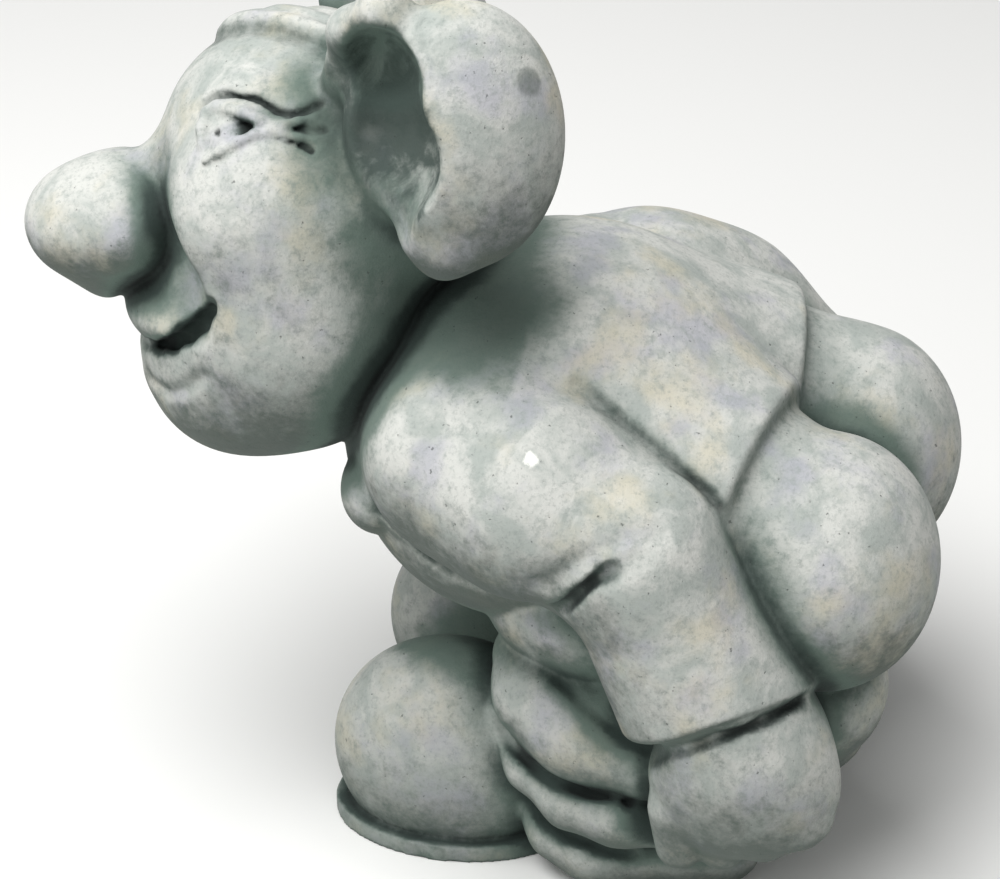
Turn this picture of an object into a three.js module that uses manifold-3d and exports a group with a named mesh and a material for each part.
// Troll garden statue: one solid casting in reconstituted stone. A comic figure bends forward, big head
// stretched out in front, shirt riding up the back, both fists holding trousers that have dropped in
// thick folds round the legs.
//
// The figure faces -Y, its left side is +X and +Z is up. It stands on the flat underside at z = 0, and
// the origin is the middle of that underside.
import * as THREE from "three";
import { mergeVertices } from "three/addons/utils/BufferGeometryUtils.js";
import Module from "manifold-3d";

// Driving dimensions, in millimetres
const FIGURE_LENGTH = 336;
const HEM_THICKNESS = 7;
const CUFF_THICKNESS = 4;
const SOLE_THICKNESS = 7;
const WELT_WIDTH = 3;
const HAIR_THICKNESS = 5.5;

// A carver squares up the figure on a grid. Every place and girth of the free form is counted in
// squares, 336 of them to the figure's length, and so keeps its share of it.
const SQUARES_LONG = 336;
const SQUARE = FIGURE_LENGTH / SQUARES_LONG;
const squares = (millimetres) => millimetres / SQUARE;

// Forms are distance functions over the grid: negative inside the stone
const clamp = (value, low, high) => Math.min(high, Math.max(low, value));

function egg([cx, cy, cz], [rx, ry, rz]) {
  return (x, y, z) => {
    const [px, py, pz] = [(x - cx) / rx, (y - cy) / ry, (z - cz) / rz];
    const near = Math.hypot(px, py, pz);
    const slope = Math.hypot(px / rx, py / ry, pz / rz);
    return slope < 1e-9 ? -Math.min(rx, ry, rz) : (near * (near - 1)) / slope;
  };
}

function limb([ax, ay, az], [bx, by, bz], startGirth, endGirth) {
  const [dx, dy, dz] = [bx - ax, by - ay, bz - az];
  const span = dx * dx + dy * dy + dz * dz;
  return (x, y, z) => {
    const t = clamp(((x - ax) * dx + (y - ay) * dy + (z - az) * dz) / span, 0, 1);
    const away = Math.hypot(x - ax - dx * t, y - ay - dy * t, z - az - dz * t);
    return away - startGirth - (endGirth - startGirth) * t;
  };
}

const softMin = (a, b, softness) => {
  const overlap = Math.max(softness - Math.abs(a - b), 0) / softness;
  return Math.min(a, b) - (overlap * overlap * softness) / 4;
};

function blend(softness, ...forms) {
  return (x, y, z) => {
    let d = forms[0](x, y, z);
    for (let i = 1; i < forms.length; i++) d = softMin(d, forms[i](x, y, z), softness);
    return d;
  };
}

function carve(softness, body, cutter) {
  return (x, y, z) => -softMin(-body(x, y, z), cutter(x, y, z), softness);
}

function keep(softness, body, limit) {
  return (x, y, z) => -softMin(-body(x, y, z), -limit(x, y, z), softness);
}

const paired = (form) => (x, y, z) => form(Math.abs(x), y, z);

// A roll of cloth or flesh through places given as [x, y, z, girth]
function roll(places, softness = 6) {
  const parts = places.slice(1).map((end, i) => {
    const start = places[i];
    return limb(start.slice(0, 3), end.slice(0, 3), start[3], end[3]);
  });
  return blend(softness, ...parts);
}

// A crease pressed in along lines on the surface
function crease(body, width, depth, ...lines) {
  const wires = lines.flatMap((line) => line.slice(1).map((end, i) => limb(line[i], end, 0, 0)));
  return (x, y, z) => {
    const d = body(x, y, z);
    if (Math.abs(d) > 4 * width) return d;
    const near = Math.min(...wires.map((wire) => wire(x, y, z)));
    return d + depth * Math.exp(-((near / width) ** 2));
  };
}

// The trunk: barrel chest, pot belly and loins, with the buttocks and the thighs bent under them
const trunk = paired(
  blend(
    16,
    egg([0, 24, 155], [74, 74, 63]),
    egg([0, 12, 137], [67, 51, 44.5]),
    egg([34, 74, 148], [50, 56, 42]),
  ),
);
const flank = blend(
  10,
  egg([42, 127, 129], [45, 41, 47]),
  egg([44, 102, 138.5], [38, 38, 41.5]),
  egg([40, 52, 104], [40, 50, 34]),
);
const [CLEFT_TOP, CLEFT_BOTTOM, CLEFT_WIDTH] = [92, 128, 16];

function buttocks(x, y, z) {
  const width = CLEFT_WIDTH * clamp((CLEFT_BOTTOM - y) / (CLEFT_BOTTOM - CLEFT_TOP), 0, 1);
  return flank(Math.hypot(x, width), y, z);
}

const hips = blend(6, trunk, buttocks);

// The shirt: the trunk plus the cloth's thickness, cut off along a curved hem
const [HEM_BACK, HEM_CURVE] = [111, 420];
const clothThickness = squares(HEM_THICKNESS);
const behindHem = (x, y) => y - HEM_BACK + (x * x) / HEM_CURVE;
const shirt = keep(2, (x, y, z) => trunk(x, y, z) - clothThickness, behindHem);

// Sleeves, cut off at a cuff that slopes up to the back and has its front corner rounded
const [CUFF_X, CUFF_Y, CUFF_Z] = [95, 100, 92.6];
const [CUFF_RISE_BACK, CUFF_RISE_OUT] = [0.557, 0.567];
const [CORNER_START, CORNER_REACH, CORNER_ROUNDING] = [86, 50, 0.018];

function beyondCuff(x, y, z) {
  const corner = CORNER_ROUNDING * clamp(CORNER_START - y, 0, CORNER_REACH) ** 2;
  const above = z - CUFF_Z - CUFF_RISE_BACK * (y - CUFF_Y) - CUFF_RISE_OUT * (x - CUFF_X) - corner;
  return -above / Math.hypot(1, CUFF_RISE_BACK, CUFF_RISE_OUT);
}

const [ELBOW, WRIST] = [
  [84, 66, 151.5, 29],
  [88, 98.5, 90, 35],
];
const arm = roll([[62, -2, 170, 33], [72, 28.5, 162.5, 35.5], ELBOW, WRIST], 12);
const ELBOW_CREASE = [
  [104, 43, 137],
  [105.2, 46, 140.5],
  [109.5, 51, 148.2],
  [110.8, 57, 155.5],
  [112, 62, 160],
];
const nearSleeve = keep(2, crease(arm, 3.5, 5, ELBOW_CREASE), beyondCuff);

// The far arm is drawn further back, its shoulder lower and the elbow softer
const farArm = blend(
  16,
  egg([62, 44, 163.5], [44, 43, 43]),
  roll(
    [
      [68, 13, 156, 35],
      [84, 66.5, 150.5, 37],
      [86, 101, 123, 34],
    ],
    12,
  ),
);
const farSleeve = keep(2, farArm, beyondCuff);
const sleeves = (x, y, z) => (x > 0 ? nearSleeve(x, y, z) : farSleeve(-x, y, z));
const collar = paired(egg([40, -34, 140], [22, 16, 17]));

// Shirt and sleeves melt into each other over the shoulder and meet in a groove behind the arm
function clothed(x, y, z) {
  const melt = 2 + 16 * clamp((36 - y) / 16, 0, 1) * clamp((z - 122) / 16, 0, 1);
  return softMin(shirt(x, y, z), sleeves(x, y, z), melt);
}

// Fists holding the dropped trousers: the wrist comes out of the cuff, then a broad back and fingers
const bareGirth = WRIST[3] - 1 - squares(CUFF_THICKNESS);
const bareArm = limb(ELBOW.slice(0, 3), [89, 106, 82], bareGirth, bareGirth);
const wrist = keep(2, bareArm, (x, y) => 80 - y);
const FINGER_GAP = 15;
const fingers = [0, 1, 2, 3].map((n) =>
  limb([98, 84 + n * FINGER_GAP, 55], [94, 86 + n * FINGER_GAP, 36 + 2 * n * n], 9.5, 9),
);
const fists = paired(blend(3, blend(10, wrist, egg([92, 108, 66], [24, 34, 30])), ...fingers));

// Dropped trousers: a core round the legs, the seat sagging behind, and four rolls of folds each side
const foldRolls = [
  [
    [44, 23, 92, 7],
    [60, 36.5, 87, 6],
    [66, 57.5, 78, 9],
    [70, 76.5, 68.5, 10],
  ],
  [
    [50, 19, 81.5, 10.5],
    [60, 29, 72, 17.5],
    [66, 46, 63, 20],
    [72, 69, 59, 18],
  ],
  [
    [60, 14.5, 60, 8],
    [72, 26.5, 45.5, 7],
    [78, 43, 37.5, 9],
    [80, 61, 35, 10],
    [80, 80, 30, 6.5],
  ],
  [
    [60, 19.5, 27, 5],
    [70, 36, 16, 8],
    [73, 51.5, 14.5, 12.5],
    [62, 97, 14.5, 15],
  ],
];
const seatCloth = blend(
  8,
  egg([31, 114, 69], [37, 38, 33]),
  egg([0, 108, 40], [50, 34, 34]),
  limb([34, 128, 66], [22, 132, 42], 17, 11),
);
const legs = egg([0, 64, 30], [70, 57, 62]);
const trousers = paired(blend(2, legs, seatCloth, ...foldRolls.map((places) => roll(places, 10))));

// Shoes: a tall round upper, a groove for the welt and a sole that stands proud of it
const SHOE_MIDDLE = [45, -8];
const SHOE_HALF = [31, 46];
const [soleThickness, weltWidth] = [squares(SOLE_THICKNESS), squares(WELT_WIDTH)];

function shoePlan(x, y) {
  const [px, py] = [(x - SHOE_MIDDLE[0]) / SHOE_HALF[0], (y - SHOE_MIDDLE[1]) / SHOE_HALF[1]];
  const near = Math.hypot(px, py);
  const slope = Math.hypot(px / SHOE_HALF[0], py / SHOE_HALF[1]);
  return slope < 1e-9 ? -SHOE_HALF[0] : (near * (near - 1)) / slope;
}

const sole = (x, y, z) => Math.max(shoePlan(x, y), z - soleThickness);

function welt(x, y, z) {
  const inBand = Math.abs(z - soleThickness - weltWidth / 2) - weltWidth / 2;
  return Math.max(inBand, -shoePlan(x, y) - weltWidth);
}

const shoes = paired(blend(1, carve(1, egg([45, -8, 31], [31, 46, 46]), welt), sole));

const body = blend(2, hips, clothed, collar, fists, trousers, shoes);

// The head has its own frame. First the nose, one long bulb with soft wings
const bulb = blend(
  12,
  egg([0, -73.5, 11.7], [26.5, 25, 21.7]),
  egg([0, -60.5, 14.5], [34, 18.5, 20.4]),
  egg([0, -70, -3], [12, 9, 13.5]),
);
const bridge = limb([0, -40, 27], [0, -62, 17], 14, 18);

// The ears stand out like cupped hands, hollow in front and full behind. The far one is smaller
const earFlap = blend(
  8,
  egg([79, 52, 60.5], [24, 35, 46.5]),
  egg([56, 42, 58], [24, 28, 36]),
  egg([78, 45, 23.5], [14, 10, 12.5]),
  limb([36, 16, 64], [57, 18, 89], 9, 7),
  limb([57, 18, 89], [74, 28, 100], 7, 9),
);
const earHollow = blend(
  6,
  egg([86, 24, 82], [30, 15, 17]),
  egg([92, 20, 58], [29, 24, 24]),
  egg([90, 12, 34], [28, 22, 24]),
);
const ear = carve(3, earFlap, earHollow);
const EAR_ROOT = [56, 30, 40];
const [FAR_EAR_SHARE, FAR_EAR_DROP] = [0.86, 9];

function ears(x, y, z) {
  if (x > 0) return ear(x, y, z);
  const fromRoot = [-x - EAR_ROOT[0], y - EAR_ROOT[1], z - EAR_ROOT[2] + FAR_EAR_DROP];
  return FAR_EAR_SHARE * ear(...fromRoot.map((v, axis) => v / FAR_EAR_SHARE + EAR_ROOT[axis]));
}

// Brow, cheeks and jowls are one round form. The smile hollows it out beside the nose, and the muzzle
// and the lower lip are set into that, with the mouth cut between them
const skull = blend(
  12,
  egg([0, 14, 26], [61, 58, 50]),
  egg([0, -7.5, 34.5], [54, 41, 44]),
  egg([0, -6, -23.5], [57, 52.5, 54]),
  egg([0, -25.5, -43.5], [41, 32, 32.5]),
);
const cheeks = blend(14, skull, egg([35, -15, 20], [28, 31, 31]), egg([31, -4, -14], [32, 34, 44]));
const SMILE_HOLLOW = [
  [30, -58, 26, 8],
  [37, -54, 10, 12],
  [44, -49, -2, 12.5],
  [50, -44, -13, 8],
];
const roundFace = carve(5, cheeks, roll(SMILE_HOLLOW, 4));
const muzzle = egg([0, -41, -19], [40.5, 23.5, 15.5]);
const lowerLip = egg([0, -36.5, -46], [34, 21.5, 12.5]);
const MOUTH = [
  [0, -61, -30.8, 1.5],
  [13, -59, -30.5, 1.7],
  [25, -53.8, -27, 2.3],
  [33.8, -48, -23.2, 2.9],
  [40.5, -42.6, -18, 3.4],
  [45.3, -37.8, -12.4, 3.5],
  [50.5, -34.8, -6.5, 2.6],
  [53, -33.4, -3.8, 1],
];
const face = carve(1.5, blend(3, roundFace, muzzle, lowerLip), roll(MOUTH, 5));

// Eyes: a deep opening, the ball in it, and two lids that run out into the temple
const BROW_CREASE = [
  [32, -33, 54],
  [27, -31, 60],
  [31, -24, 63],
  [36, -18, 64],
  [42, -9.5, 62],
  [45.5, -4, 60.5],
  [45, 2.5, 61.5],
  [43.5, 7, 62.5],
];
const EYE_OPENING = [
  [41, -30.5, 51.5, 2.6],
  [42, -27, 53.7, 4.6],
  [44.5, -20.5, 55.5, 4.2],
  [47.5, -13.5, 56.8, 2],
];
const eyeball = egg([38.8, -21.5, 49.2], [9.3, 9.3, 8.8]);
const UPPER_LID = [
  [41, -34, 49.5, 1.6],
  [35.8, -33.5, 54.5, 2.1],
  [32.5, -31.5, 58.7, 2.3],
  [33, -28, 60.8, 2.4],
  [37, -24, 61.2, 2.4],
  [41.3, -19, 60.7, 2.4],
  [45.6, -14, 59, 2.2],
  [48.8, -6, 57.6, 1.9],
  [48, -1, 58.9, 1.4],
];
const LOWER_LID = [
  [46.8, -33, 46, 1.5],
  [48.2, -28, 49.3, 1.8],
  [48.5, -21.8, 52.6, 1.9],
  [48.4, -16, 55, 1.8],
  [49.4, -11, 56, 1.6],
];
const eye = blend(1, eyeball, roll(UPPER_LID, 2), roll(LOWER_LID, 2));
const browed = crease(face, 1.8, 2.6, BROW_CREASE);
const faced = paired(blend(1, carve(1.5, browed, roll(EYE_OPENING, 3)), eye));

// Hair: a thick cap over the skull, cut off along a rounded peak on the forehead
const HAIR_PEAK = [-16, -41];
const [HAIRLINE_SLOPE, HAIRLINE_ROUNDING, HAIRLINE_LOWEST] = [1.4, 10, 52];
const hairThickness = squares(HAIR_THICKNESS);

function beforeHairline(x, y, z) {
  const line = HAIR_PEAK[1] + HAIRLINE_SLOPE * Math.hypot(x - HAIR_PEAK[0], HAIRLINE_ROUNDING);
  return Math.max((line - y) / Math.hypot(1, HAIRLINE_SLOPE), HAIRLINE_LOWEST - z);
}

const hair = keep(4, (x, y, z) => skull(x, y, z) - hairThickness, beforeHairline);
const nosed = blend(3, blend(12, faced, bridge), bulb);
const uprightHead = blend(1, blend(5, nosed, ears), hair);

// The head is turned to the figure's left and leans a little
const [HEAD_X, HEAD_Y, HEAD_Z] = [8, -72, 219];
const HEAD_TURN = THREE.MathUtils.degToRad(18);
const HEAD_LEAN = THREE.MathUtils.degToRad(8);
const intoHead = new THREE.Matrix4()
  .makeRotationZ(HEAD_TURN)
  .multiply(new THREE.Matrix4().makeRotationY(-HEAD_LEAN))
  .invert().elements;

function head(x, y, z) {
  const m = intoHead;
  const [px, py, pz] = [x - HEAD_X, y - HEAD_Y, z - HEAD_Z];
  return uprightHead(
    m[0] * px + m[4] * py + m[8] * pz,
    m[1] * px + m[5] * py + m[9] * pz,
    m[2] * px + m[6] * py + m[10] * pz,
  );
}

// Marching tetrahedra: a closed skin over a form on an even grid
const CORNERS = [0, 1, 2, 3, 4, 5, 6, 7].map((corner) => [corner & 1, (corner >> 1) & 1, corner >> 2]);
const TETRAHEDRA = [
  [0, 1, 3, 7],
  [0, 3, 2, 7],
  [0, 2, 6, 7],
  [0, 6, 4, 7],
  [0, 4, 5, 7],
  [0, 5, 1, 7],
];
const BLOCK_SIZE = 14;

// Whole blocks that lie far from the surface are measured once, at their middle
function sample(form, low, size, step) {
  const [nx, ny, nz] = size;
  const value = new Float64Array(nx * ny * nz);
  const block = Math.max(2, Math.round(BLOCK_SIZE / step));
  const far = block * step * 1.7;
  for (let k = 0; k < nz; k += block)
    for (let j = 0; j < ny; j += block)
      for (let i = 0; i < nx; i += block) {
        const middle = [i, j, k].map((n, axis) => low[axis] + (n + (block - 1) / 2) * step);
        const there = form(...middle);
        const skip = Math.abs(there) > far;
        for (let c = k; c < Math.min(k + block, nz); c++)
          for (let b = j; b < Math.min(j + block, ny); b++)
            for (let a = i; a < Math.min(i + block, nx); a++) {
              const d = skip ? there : form(low[0] + a * step, low[1] + b * step, low[2] + c * step);
              value[a + nx * (b + ny * c)] = d || 1e-9;
            }
      }
  return value;
}

function skin(form, low, high, step) {
  const size = low.map((v, axis) => Math.ceil((high[axis] - v) / step) + 1);
  const [nx, ny, nz] = size;
  const value = sample(form, low, size, step);
  const points = [];
  const faces = [];
  const onEdge = new Map();
  const place = (n) => [n % nx, Math.floor(n / nx) % ny, Math.floor(n / (nx * ny))];
  const crossing = (a, b) => {
    const [from, to] = a < b ? [a, b] : [b, a];
    const key = from * value.length + to;
    let found = onEdge.get(key);
    if (found === undefined) {
      const t = clamp(value[from] / (value[from] - value[to]), 0.02, 0.98);
      const end = place(to);
      found = points.length;
      points.push(place(from).map((v, axis) => low[axis] + (v + (end[axis] - v) * t) * step));
      onEdge.set(key, found);
    }
    return found;
  };
  const facingOut = (a, b, c, inner, outer) => {
    const [p, q, r] = [points[a], points[b], points[c]];
    const u = q.map((v, axis) => v - p[axis]);
    const w = r.map((v, axis) => v - p[axis]);
    const out = outer.map((v, axis) => v - inner[axis]);
    const along =
      (u[1] * w[2] - u[2] * w[1]) * out[0] +
      (u[2] * w[0] - u[0] * w[2]) * out[1] +
      (u[0] * w[1] - u[1] * w[0]) * out[2];
    return along >= 0 ? [a, b, c] : [a, c, b];
  };
  for (let k = 0; k + 1 < nz; k++)
    for (let j = 0; j + 1 < ny; j++)
      for (let i = 0; i + 1 < nx; i++) {
        const ids = CORNERS.map(([a, b, c]) => i + a + nx * (j + b + ny * (k + c)));
        const within = ids.filter((n) => value[n] < 0).length;
        if (within === 0 || within === 8) continue;
        for (const tetra of TETRAHEDRA) {
          const inner = tetra.filter((c) => value[ids[c]] < 0);
          const outer = tetra.filter((c) => value[ids[c]] > 0);
          if (!inner.length || !outer.length) continue;
          const cut = inner.flatMap((a) => outer.map((b) => crossing(ids[a], ids[b])));
          const ends = [CORNERS[inner[0]], CORNERS[outer[0]]];
          if (cut.length === 3) faces.push(facingOut(...cut, ...ends));
          else {
            faces.push(facingOut(cut[0], cut[1], cut[3], ...ends));
            faces.push(facingOut(cut[0], cut[3], cut[2], ...ends));
          }
        }
      }
  return { points, faces };
}

// Quadric edge collapse: fewer, larger faces where the stone is smooth, small ones left in the creases
const FLIP_LIMIT = 0.15;

function quadric(p, q, r) {
  const n = new THREE.Vector3().subVectors(q, p).cross(new THREE.Vector3().subVectors(r, p));
  const area = n.length();
  if (area < 1e-12) return new Float64Array(10);
  n.divideScalar(area);
  const d = -n.dot(p);
  const [a, b, c] = [n.x, n.y, n.z];
  const products = [a * a, a * b, a * c, a * d, b * b, b * c, b * d, c * c, c * d, d * d];
  return Float64Array.from(products, (v) => v * area);
}

const strain = (q, x, y, z) =>
  q[0] * x * x + 2 * q[1] * x * y + 2 * q[2] * x * z + 2 * q[3] * x + q[4] * y * y +
  2 * q[5] * y * z + 2 * q[6] * y + q[7] * z * z + 2 * q[8] * z + q[9];

function bestPlace(q, p, r) {
  const [a, b, c, d, e, f] = [q[0], q[1], q[2], q[4], q[5], q[7]];
  const det = a * (d * f - e * e) - b * (b * f - e * c) + c * (b * e - d * c);
  const middle = [(p.x + r.x) / 2, (p.y + r.y) / 2, (p.z + r.z) / 2];
  const choices = [[p.x, p.y, p.z], [r.x, r.y, r.z], middle];
  const size = Math.max(a, d, f);
  if (Math.abs(det) > 1e-4 * size * size * size) {
    const [g, h, i] = [-q[3], -q[6], -q[8]];
    const solved = [
      (g * (d * f - e * e) - b * (h * f - e * i) + c * (h * e - d * i)) / det,
      (a * (h * f - i * e) - g * (b * f - e * c) + c * (b * i - h * c)) / det,
      (a * (d * i - h * e) - b * (b * i - h * c) + g * (b * e - d * c)) / det,
    ];
    const reach = Math.hypot(...solved.map((v, axis) => v - middle[axis]));
    if (reach < 1.5 * p.distanceTo(r)) choices.push(solved);
  }
  return choices
    .map((at) => ({ at, cost: strain(q, ...at) }))
    .reduce((best, next) => (next.cost < best.cost ? next : best));
}

class Queue {
  items = [];
  push(item) {
    const list = this.items;
    let i = list.push(item) - 1;
    while (i > 0) {
      const up = (i - 1) >> 1;
      if (list[up].cost <= item.cost) break;
      list[i] = list[up];
      i = up;
    }
    list[i] = item;
  }
  pop() {
    const list = this.items;
    const top = list[0];
    const last = list.pop();
    if (list.length) {
      let i = 0;
      for (;;) {
        let down = 2 * i + 1;
        if (down >= list.length) break;
        if (down + 1 < list.length && list[down + 1].cost < list[down].cost) down++;
        if (list[down].cost >= last.cost) break;
        list[i] = list[down];
        i = down;
      }
      list[i] = last;
    }
    return top;
  }
}

function simplify({ points, faces }, target) {
  const at = points.map((p) => new THREE.Vector3(...p));
  const live = faces.map((f) => f.slice());
  const around = at.map(() => new Set());
  live.forEach((f, i) => f.forEach((v) => around[v].add(i)));
  const strains = at.map(() => new Float64Array(10));
  live.forEach((f) => {
    const q = quadric(...f.map((v) => at[v]));
    f.forEach((v) => q.forEach((value, i) => (strains[v][i] += value)));
  });
  const stamp = new Uint32Array(at.length);
  const queue = new Queue();
  const neighbours = (v) => {
    const found = new Set();
    for (const f of around[v]) for (const w of live[f]) if (w !== v) found.add(w);
    return found;
  };
  const offer = (a, b) => {
    const q = strains[a].map((v, i) => v + strains[b][i]);
    const { at: goal, cost } = bestPlace(q, at[a], at[b]);
    const length = at[a].distanceToSquared(at[b]);
    queue.push({ cost: cost + 1e-5 * length * length, a, b, goal, stamps: stamp[a] + stamp[b], q });
  };
  at.forEach((_, v) => neighbours(v).forEach((w) => w > v && offer(v, w)));
  const turns = (v, other, goal) => {
    for (const f of around[v]) {
      const face = live[f];
      if (face.includes(other)) continue;
      const corners = face.map((w) => at[w]);
      const moved = face.map((w) => (w === v ? goal : at[w]));
      const [before, after] = [corners, moved].map(([p, q, r]) =>
        new THREE.Vector3().subVectors(q, p).cross(new THREE.Vector3().subVectors(r, p)),
      );
      if (before.dot(after) <= FLIP_LIMIT * before.length() * after.length()) return true;
    }
    return false;
  };
  let count = live.length;
  while (count > target && queue.items.length) {
    const { a, b, goal, stamps, q } = queue.pop();
    if (!around[a] || !around[b] || stamps !== stamp[a] + stamp[b]) continue;
    const nextToB = neighbours(b);
    if (!nextToB.has(a)) continue;
    const shared = [...neighbours(a)].filter((v) => nextToB.has(v));
    if (shared.length !== 2) continue;
    const place = new THREE.Vector3(...goal);
    if (turns(a, b, place) || turns(b, a, place)) continue;
    for (const f of around[b]) {
      if (live[f].includes(a)) {
        live[f].forEach((v) => v !== b && around[v].delete(f));
        live[f] = null;
        count--;
      } else {
        live[f][live[f].indexOf(b)] = a;
        around[a].add(f);
      }
    }
    around[b] = null;
    at[a].copy(place);
    strains[a] = q;
    stamp[a] += stamp[b] + 1;
    neighbours(a).forEach((v) => offer(a, v));
  }
  const index = new Map();
  const kept = live.filter((f) => f);
  kept.flat().forEach((v) => index.has(v) || index.set(v, index.size));
  return {
    points: [...index.keys()].map((v) => at[v].toArray()),
    faces: kept.map((f) => f.map((v) => index.get(v))),
  };
}

// The face is skinned finer than the body. The body's skin runs on below the ground
const [HEAD_STEP, BODY_STEP] = [2.5, 3.8];
const [HEAD_FACES, BODY_FACES] = [4200, 5200];
const HEAD_SPACE = [
  [-118, -178, 130],
  [96, 43, 347],
];
const BELOW_GROUND = 12;
const BODY_SPACE = [
  [-132, -66, -BELOW_GROUND],
  [132, 178, 234],
];
const UNDERSIDE_MIDDLE = 35;

const wasm = await Module();
wasm.setup();

function solidOf(geometry) {
  const bare = geometry.clone();
  bare.deleteAttribute("normal");
  bare.deleteAttribute("uv");
  const merged = mergeVertices(bare);
  return new wasm.Manifold(
    new wasm.Mesh({
      numProp: 3,
      vertProperties: merged.attributes.position.array,
      triVerts: Uint32Array.from(merged.index.array),
    }),
  );
}

function geometryOf({ points, faces }) {
  const geometry = new THREE.BufferGeometry();
  geometry.setAttribute("position", new THREE.Float32BufferAttribute(points.flat(), 3));
  geometry.setIndex(faces.flat());
  return geometry;
}

const ON_GROUND = 0.3;

function carved(form, [low, high], step, faceCount) {
  const { points, faces } = simplify(skin(form, low, high, step), faceCount);
  const settled = points.map(([x, y, z]) => [x, y, Math.abs(z) < ON_GROUND ? 0 : z]);
  const sized = settled.map((place) => place.map((count) => count * SQUARE));
  return solidOf(geometryOf({ points: sized, faces }));
}

const buried = keep(1, body, (x, y, z) => BODY_STEP * 1.5 - BELOW_GROUND - z);
const upper = carved(head, HEAD_SPACE, HEAD_STEP, HEAD_FACES);
const lower = carved(buried, BODY_SPACE, BODY_STEP, BODY_FACES);
const ground = new THREE.BoxGeometry(2 * FIGURE_LENGTH, 2 * FIGURE_LENGTH, 2 * BELOW_GROUND * SQUARE);
ground.translate(0, 0, -BELOW_GROUND * SQUARE);
const cast = lower.subtract(solidOf(ground)).add(upper).getMesh();

const stone = new THREE.MeshStandardMaterial({ color: 0xa9aca8, roughness: 0.9, metalness: 0 });
const castGeometry = new THREE.BufferGeometry();
castGeometry.setAttribute("position", new THREE.BufferAttribute(cast.vertProperties, 3));
castGeometry.setIndex(new THREE.BufferAttribute(cast.triVerts, 1));
castGeometry.computeVertexNormals();
const troll = new THREE.Mesh(castGeometry, stone);
troll.name = "troll";
troll.position.y = -UNDERSIDE_MIDDLE * SQUARE;

const statue = new THREE.Group();
statue.add(troll);

export default statue;
